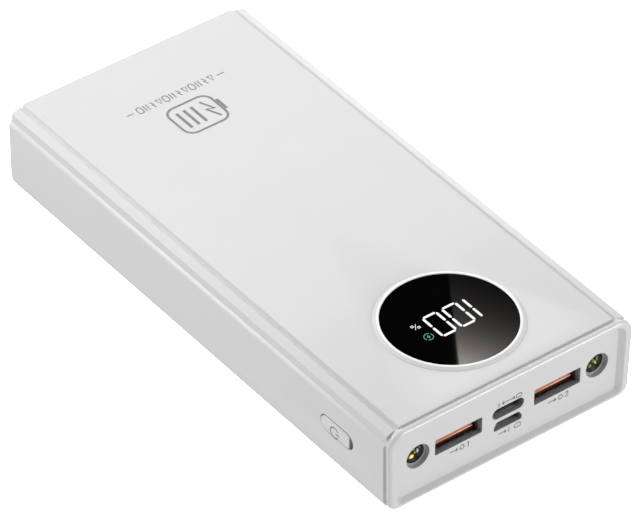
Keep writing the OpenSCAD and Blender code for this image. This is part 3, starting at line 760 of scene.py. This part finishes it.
# Marks at the ports: arrows with a ring, a bar or a plug, and the figures 1 and 2
out_sign = arrow(-3.0, -0.7) + [(arc(0.6, 0, 0.6, 0, 360, 16), THIN)]
figure_one = [([(2.4 - 0.3, 0.4), (2.4, 0.72), (2.4, -0.75)], THIN)]
figure_two = [(arc(2.4, 0.3, 0.42, 170, -30, 8) + [(2.4 - 0.45, -0.68), (2.4 + 0.5, -0.68)],
               THIN)]
both_ways = arrow(-0.4, 1.4) + arrow(-0.4, -2.2) + [upright(-3.2, 0.6, THIN)]
pill = [(closed(stadium(2.6, 0, 1.7, 1.0, 6)), PLUG_LINE)]
in_sign = arrow(-3.0, -0.8) + [upright(0.0, 0.7, THIN)]
plug = [([(1.6, -0.5), (1.6, 0.1), (2.0, 0.6), (3.0, 0.6), (3.4, 0.1), (3.4, -0.5),
          (1.6, -0.5)], PLUG_LINE)]
PANEL_MARKS = [("out_1_print", out_sign + figure_one, -13.7, 7.8),
               ("out_2_print", out_sign + figure_two, 14.65, 7.8),
               ("type_c_print", both_ways + pill, 0.4, 14.75),
               ("micro_print", in_sign + plug, 0.4, 5.95)]
for name, strokes, x, z in PANEL_MARKS:
    print_mark(name, strokes, on_panel(x, z), mat_panel_ink)

power_sign = [(arc(0, 0, 1.45, 125, 415, 26), 0.3), ([(0, 0.4), (0, 1.8)], 0.3)]
print_mark("button_print", power_sign, on_button(BUTTON_Y + 0.6, BUTTON_Z - 0.65),
           mat_panel_ink, "button")


# ---------------------------------------------------------------- lamps
def disc_solid(name, cx, cz, profile, segments=64):
    """Solid turned about an axis along Y: [radius, y] from the front middle to the back."""
    bm = bmesh.new()
    loops = []
    for r, y in profile:
        if r < 1e-6:
            loops.append([bm.verts.new(Vector((cx, y, cz)) * MM)])
        else:
            turns = [2 * math.pi * i / segments for i in range(segments)]
            loops.append([bm.verts.new(Vector((cx + r * math.cos(a), y,
                                               cz + r * math.sin(a))) * MM) for a in turns])
    for a, b in zip(loops, loops[1:]):
        for i in range(segments):
            j = (i + 1) % segments
            if len(a) == 1:
                bm.faces.new((a[0], b[j], b[i]))
            elif len(b) == 1:
                bm.faces.new((a[i], a[j], b[0]))
            else:
                bm.faces.new((a[i], a[j], b[j], b[i]))
    return new_object(name, bm)


def pebble(name, centre, size, mat):
    """Small rounded lump: a cube subdivided and pulled to a ball, then stretched."""
    bm = bmesh.new()
    bmesh.ops.create_cube(bm, size=1.0)
    bmesh.ops.subdivide_edges(bm, edges=bm.edges, cuts=4, use_grid_fill=True)
    for v in bm.verts:
        d = v.co.normalized() * 0.5
        v.co = Vector([(c + u * s) * MM for c, u, s in zip(centre, d, size)])
    obj = new_object(name, bm)
    dress(obj, mat)
    smooth(obj, 80)
    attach(obj, "root")


# Lens from its middle outwards: share of its radius, and depth in mm behind its rim
LENS_BOWL = [(0, 0.75), (0.45, 0.62), (0.72, 0.32), (0.84, 0.05), (0.92, -0.02), (0.98, 0.06),
             (1, 0.3)]
HIGHLIGHT_T = 0.5

# Painted highlights and reflections in each lamp, as small lumps: offsets in x and z, width,
# height and material. The phosphor lumps keep the chip's own yellow with a painted glow.
LAMP_HIGHLIGHTS_1 = [(-0.75, -0.75, 1.3, 1.1, mat_phosphor_glow), (0.25, -0.15, 0.8, 0.7, mat_olive_reflection),
            (0.95, 0.2, 0.6, 1.35, mat_painted_glint), (1.3, 1.25, 0.45, 0.8, mat_painted_glint_dim),
            (-0.2, 0.95, 0.9, 0.45, mat_olive_reflection)]
LAMP_HIGHLIGHTS_2 = [(-0.9, -0.75, 1.0, 0.9, mat_olive_reflection), (0.25, 0.0, 1.2, 0.65, mat_olive_reflection),
            (1.05, 0.55, 0.6, 1.4, mat_painted_glint_dim), (0.7, -0.5, 0.45, 0.6, mat_phosphor_glow),
            (-0.3, 0.95, 0.8, 0.4, mat_olive_reflection)]


def make_lamp(index, cx, highlights):
    led_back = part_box("lamp_led_%d" % index)[1].y / MM
    y = PANEL_Y + LAMP_STEP - 0.1
    r = LAMP_LENS_R
    profile = [(r * share, y + depth) for share, depth in LENS_BOWL]
    lens = disc_solid("lamp_lens_%d" % index, cx, LAMP_Z,
                      profile + [(r, led_back), (0, led_back)])
    dress(lens, mat_bowl,
          [(mat_bezel, lambda c, n: math.hypot(c.x - cx, c.z - LAMP_Z) > r * 0.83)])
    smooth(lens, 50)
    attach(lens, "root")
    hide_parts("lamp_led_%d" % index)
    # Small lumps of painted highlight and reflection on the lens.
    for k, (dx, dz, w, h, mat) in enumerate(highlights):
        depth = 0.62 - 0.5 * min(1.0, math.hypot(dx, dz) / r)
        pebble("lamp_highlight_lump_%d_%d" % (index, k + 1), (cx + dx, y + depth, LAMP_Z + dz),
               (w, HIGHLIGHT_T, h), mat)


make_lamp(1, -LAMP_X, LAMP_HIGHLIGHTS_1)
make_lamp(2, LAMP_X, LAMP_HIGHLIGHTS_2)


# ---------------------------------------------------------------- socket tongues
def make_tongue(index):
    """Tongue with a bevelled front edge and four grooves, and the CAD's block at its root."""
    low, high = (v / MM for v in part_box("usb_a_tongue_%d" % index))
    cx = (low.x + high.x) / 2
    top = TONGUE_TOP
    base = top - TONGUE_T
    side = [(low.y, base + 0.25), (low.y + 0.2, base), (high.y, base), (high.y, top),
            (low.y + 0.62, top), (low.y + 0.14, top - 0.24), (low.y, top - 0.42)]
    tongue = prism_x("tongue_%d" % index, side, cx - TONGUE_HALF_W, cx + TONGUE_HALF_W)
    y0, y1 = low.y + 0.9, low.y + 7.5
    grooves = []
    for x in (-3.5, -1.2, 1.2, 3.5):
        x0, x1 = cx + x - 0.5, cx + x + 0.5
        grooves.append(box("t_groove", (x0, y0, top - 0.1), (x1, y1, top + 1)))
    boolean(tongue, grooves)
    soften(tongue, 0.05, angle=30, segments=2)
    # Painted shade on the front face and underside, painted highlight on the top of the front
    # bevel.
    dress(tongue, mat_orange,
          [(mat_tongue_shade, lambda c, n: c.y < low.y + 0.13 or c.z < base + 0.2),
           (mat_tongue_highlight, lambda c, n: c.y < low.y + 0.68 and n.z > 0.35)])
    root = box("t_root", (low.x, high.y - 1.5, low.z), tuple(high))
    boolean(tongue, [root], "UNION")
    smooth(tongue, 40)
    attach(tongue, "root")
    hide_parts("usb_a_tongue_%d" % index)


for number in (1, 2):
    make_tongue(number)


# ---------------------------------------------------------------- floor
FLOOR_HALF = 6.0
FLOOR_Z = -0.0002
FLOOR_CELLS = 24

# Brightness of the floor: to the camera, in the light that it throws back, and in reflections
FLOOR_GLOW = 0.93
FLOOR_BOUNCE = 1.19
FLOOR_GLEAM = 0.18


def make_floor():
    bm = bmesh.new()
    n = FLOOR_CELLS
    line = [(i / n * 2 - 1) * FLOOR_HALF for i in range(n + 1)]
    grid = [[bm.verts.new((x, y, FLOOR_Z)) for y in line] for x in line]
    for i in range(n):
        for j in range(n):
            bm.faces.new((grid[i][j], grid[i + 1][j], grid[i + 1][j + 1], grid[i][j + 1]))
    floor = new_object("studio_floor", bm)
    dress(floor, material("studio_white", (0.96, 0.96, 0.96), 0.9, mottle=0.002, grain=0.0))
    return floor


def light_floor(floor):
    """Floor that is white to the camera, with its other two levels set apart from that."""
    tree = floor.data.materials[0].node_tree
    shader = tree.nodes["Principled BSDF"]
    shader.inputs["Emission Color"].default_value = (1, 1, 1, 1)
    shader.inputs["Emission Strength"].default_value = FLOOR_GLOW
    path = tree.nodes.new("ShaderNodeLightPath")
    level = tree.nodes.new("ShaderNodeMix")
    level.inputs["A"].default_value = FLOOR_BOUNCE
    level.inputs["B"].default_value = FLOOR_GLEAM
    throw = tree.nodes.new("ShaderNodeEmission")
    choose = tree.nodes.new("ShaderNodeMixShader")
    tree.links.new(path.outputs["Is Glossy Ray"], level.inputs["Factor"])
    tree.links.new(level.outputs["Result"], throw.inputs["Strength"])
    tree.links.new(path.outputs["Is Camera Ray"], choose.inputs["Fac"])
    tree.links.new(throw.outputs["Emission"], choose.inputs[1])
    tree.links.new(shader.outputs["BSDF"], choose.inputs[2])
    tree.links.new(choose.outputs["Shader"], tree.nodes["Material Output"].inputs["Surface"])


light_floor(make_floor())


# ---------------------------------------------------------------- lights
WORLD_LEVEL = 0.52

# Name, power, bearing and height angle in degrees, distance and size in metres. The bearing
# is 0 towards +X and 90 towards +Y. The first three only light surfaces, and the others only
# show in reflections.
LIGHTS = [("key", 3.6, 66, 50, 0.75, (0.45, 0.35)),
          ("left", 2.5, 137, 28, 0.7, (0.5, 0.15)),
          ("rim", 1.85, -60, 18, 0.7, (0.3, 0.3))]
SHINES = [("left_shine", 2.6, 137, 28, 0.7, (0.5, 0.15)),
          ("rim_shine", 4.0, -60, 18, 0.7, (0.3, 0.3)),
          ("right_shine", 0.55, 39, 16, 0.7, (0.3, 0.2))]
LIGHT_AIM = Vector((0, 0, 0.015))

scene = bpy.context.scene
world = bpy.data.worlds.new("studio")
scene.world = world
world.use_nodes = True
background = world.node_tree.nodes["Background"]
background.inputs["Color"].default_value = (1, 1, 1, 1)
background.inputs["Strength"].default_value = WORLD_LEVEL
world.cycles_visibility.glossy = False
scene.view_settings.view_transform = "Standard"


def bearing_vector(bearing, height):
    """Unit vector at a bearing and a height angle, in degrees."""
    az, el = math.radians(bearing), math.radians(height)
    return Vector((math.cos(az) * math.cos(el), math.sin(az) * math.cos(el), math.sin(el)))


def area(name, power, bearing, height, distance, size, shine):
    """Soft light that is turned to the object's middle."""
    place = LIGHT_AIM + bearing_vector(bearing, height) * distance
    light = bpy.data.lights.new(name, "AREA")
    light.shape = "RECTANGLE"
    light.size, light.size_y = size
    light.energy = power
    obj = bpy.data.objects.new(name, light)
    scene.collection.objects.link(obj)
    obj.location = place
    obj.rotation_euler = (LIGHT_AIM - place).to_track_quat("-Z", "Y").to_euler()
    obj.visible_diffuse = not shine
    obj.visible_glossy = shine


for row in LIGHTS:
    area(*row, False)
for row in SHINES:
    area(*row, True)


# ---------------------------------------------------------------- camera
LENS = 336.4965  # mm, on a sensor 36 mm wide
SENSOR = 36.0
AZIMUTH, ELEVATION, ROLL = -38.188, 39.806, 0.941
DISTANCE = 1389.18
SIDE, RISE = 1.693, 6.481


def camera_pose():
    """Place and turn of the camera, solved from the case's edges and corners."""
    azimuth, elevation, roll = (math.radians(v) for v in (AZIMUTH, ELEVATION, ROLL))
    back = Vector((math.sin(azimuth) * math.cos(elevation),
                   -math.cos(azimuth) * math.cos(elevation), math.sin(elevation)))
    level = Vector((math.cos(azimuth), math.sin(azimuth), 0))
    above = back.cross(level)
    right = math.cos(roll) * level + math.sin(roll) * above
    up = -math.sin(roll) * level + math.cos(roll) * above
    place = (back * DISTANCE + right * SIDE + up * RISE) * MM
    return Matrix.Translation(place) @ Matrix((right, up, back)).transposed().to_4x4()


def make_camera():
    data = bpy.data.cameras.new("photo_camera")
    data.sensor_fit = "HORIZONTAL"
    data.sensor_width = SENSOR
    data.lens = LENS
    data.clip_start, data.clip_end = 0.01, 50
    cam = bpy.data.objects.new("photo_camera", data)
    scene.collection.objects.link(cam)
    cam.matrix_world = camera_pose()
    scene.camera = cam


# ---------------------------------------------------------------- card that the window mirrors
CARD_GLOW = 4.4
CARD_TINT = (1.0, 0.93, 0.88)
CARD_BEARING, CARD_HEIGHT = 52, 39.8
CARD_FAR = 0.4
CARD_CELLS = 24

# Straight edge of the card as it shows on the window, from its near end to its far end, and
# the way across it, in mm from the display's middle
EDGE_NEAR, EDGE_FAR = Vector((-10.0, -16.35)), Vector((14.0, 18.8))
ACROSS = Vector((34.0, -4.0))


def card_level(x, y):
    """Brightness at a place on the window: it fades away from the near end of the edge."""
    return min(math.exp(-0.136 * (x + 6.1) - 0.066 * (y + 12.1)), 1.2)


def make_card():
    """Grey sheet 0.4 m from the display, where the window mirrors it to the camera."""
    centre = Vector((DISPLAY[0], DISPLAY[1], LENS_TOP)) * MM
    towards = bearing_vector(CARD_BEARING, CARD_HEIGHT)
    viewer = camera_pose().translation
    mirrored = Vector((viewer.x, viewer.y, 2 * LENS_TOP * MM - viewer.z))

    def on_card(x, y):
        p = centre + Vector((x, y, 0)) * MM
        ray = p - mirrored
        t = (centre + towards * CARD_FAR - p).dot(towards) / ray.dot(towards)
        return p + ray * t

    bm = bmesh.new()
    layer = bm.loops.layers.float_color.new("level")
    n = CARD_CELLS
    rows = []
    for i in range(n + 1):
        start = EDGE_NEAR.lerp(EDGE_FAR, i / n)
        rows.append([(start.x + ACROSS.x * j / n, start.y + ACROSS.y * j / n)
                     for j in range(n + 1)])
    verts = [[bm.verts.new(on_card(*q)) for q in row] for row in rows]
    for i in range(n):
        for j in range(n):
            cell = ((i, j), (i + 1, j), (i + 1, j + 1), (i, j + 1))
            face = bm.faces.new([verts[a][b] for a, b in cell])
            for loop, (a, b) in zip(face.loops, cell):
                loop[layer] = (card_level(*rows[a][b]),) * 3 + (1,)
    card = new_object("window_card", bm)
    mat = bpy.data.materials.new("card_glow")
    mat.use_nodes = True
    tree = mat.node_tree
    tree.nodes.clear()
    colour = tree.nodes.new("ShaderNodeVertexColor")
    colour.layer_name = "level"
    tint = tree.nodes.new("ShaderNodeVectorMath")
    tint.operation = "MULTIPLY"
    tint.inputs[1].default_value = CARD_TINT
    glow = tree.nodes.new("ShaderNodeEmission")
    glow.inputs["Strength"].default_value = CARD_GLOW
    output = tree.nodes.new("ShaderNodeOutputMaterial")
    tree.links.new(colour.outputs["Color"], tint.inputs[0])
    tree.links.new(tint.outputs["Vector"], glow.inputs["Color"])
    tree.links.new(glow.outputs["Emission"], output.inputs["Surface"])
    dress(card, mat)
    card.visible_camera = False
    card.visible_diffuse = False
    card.visible_shadow = False
    card.visible_transmission = False


make_card()
make_camera()
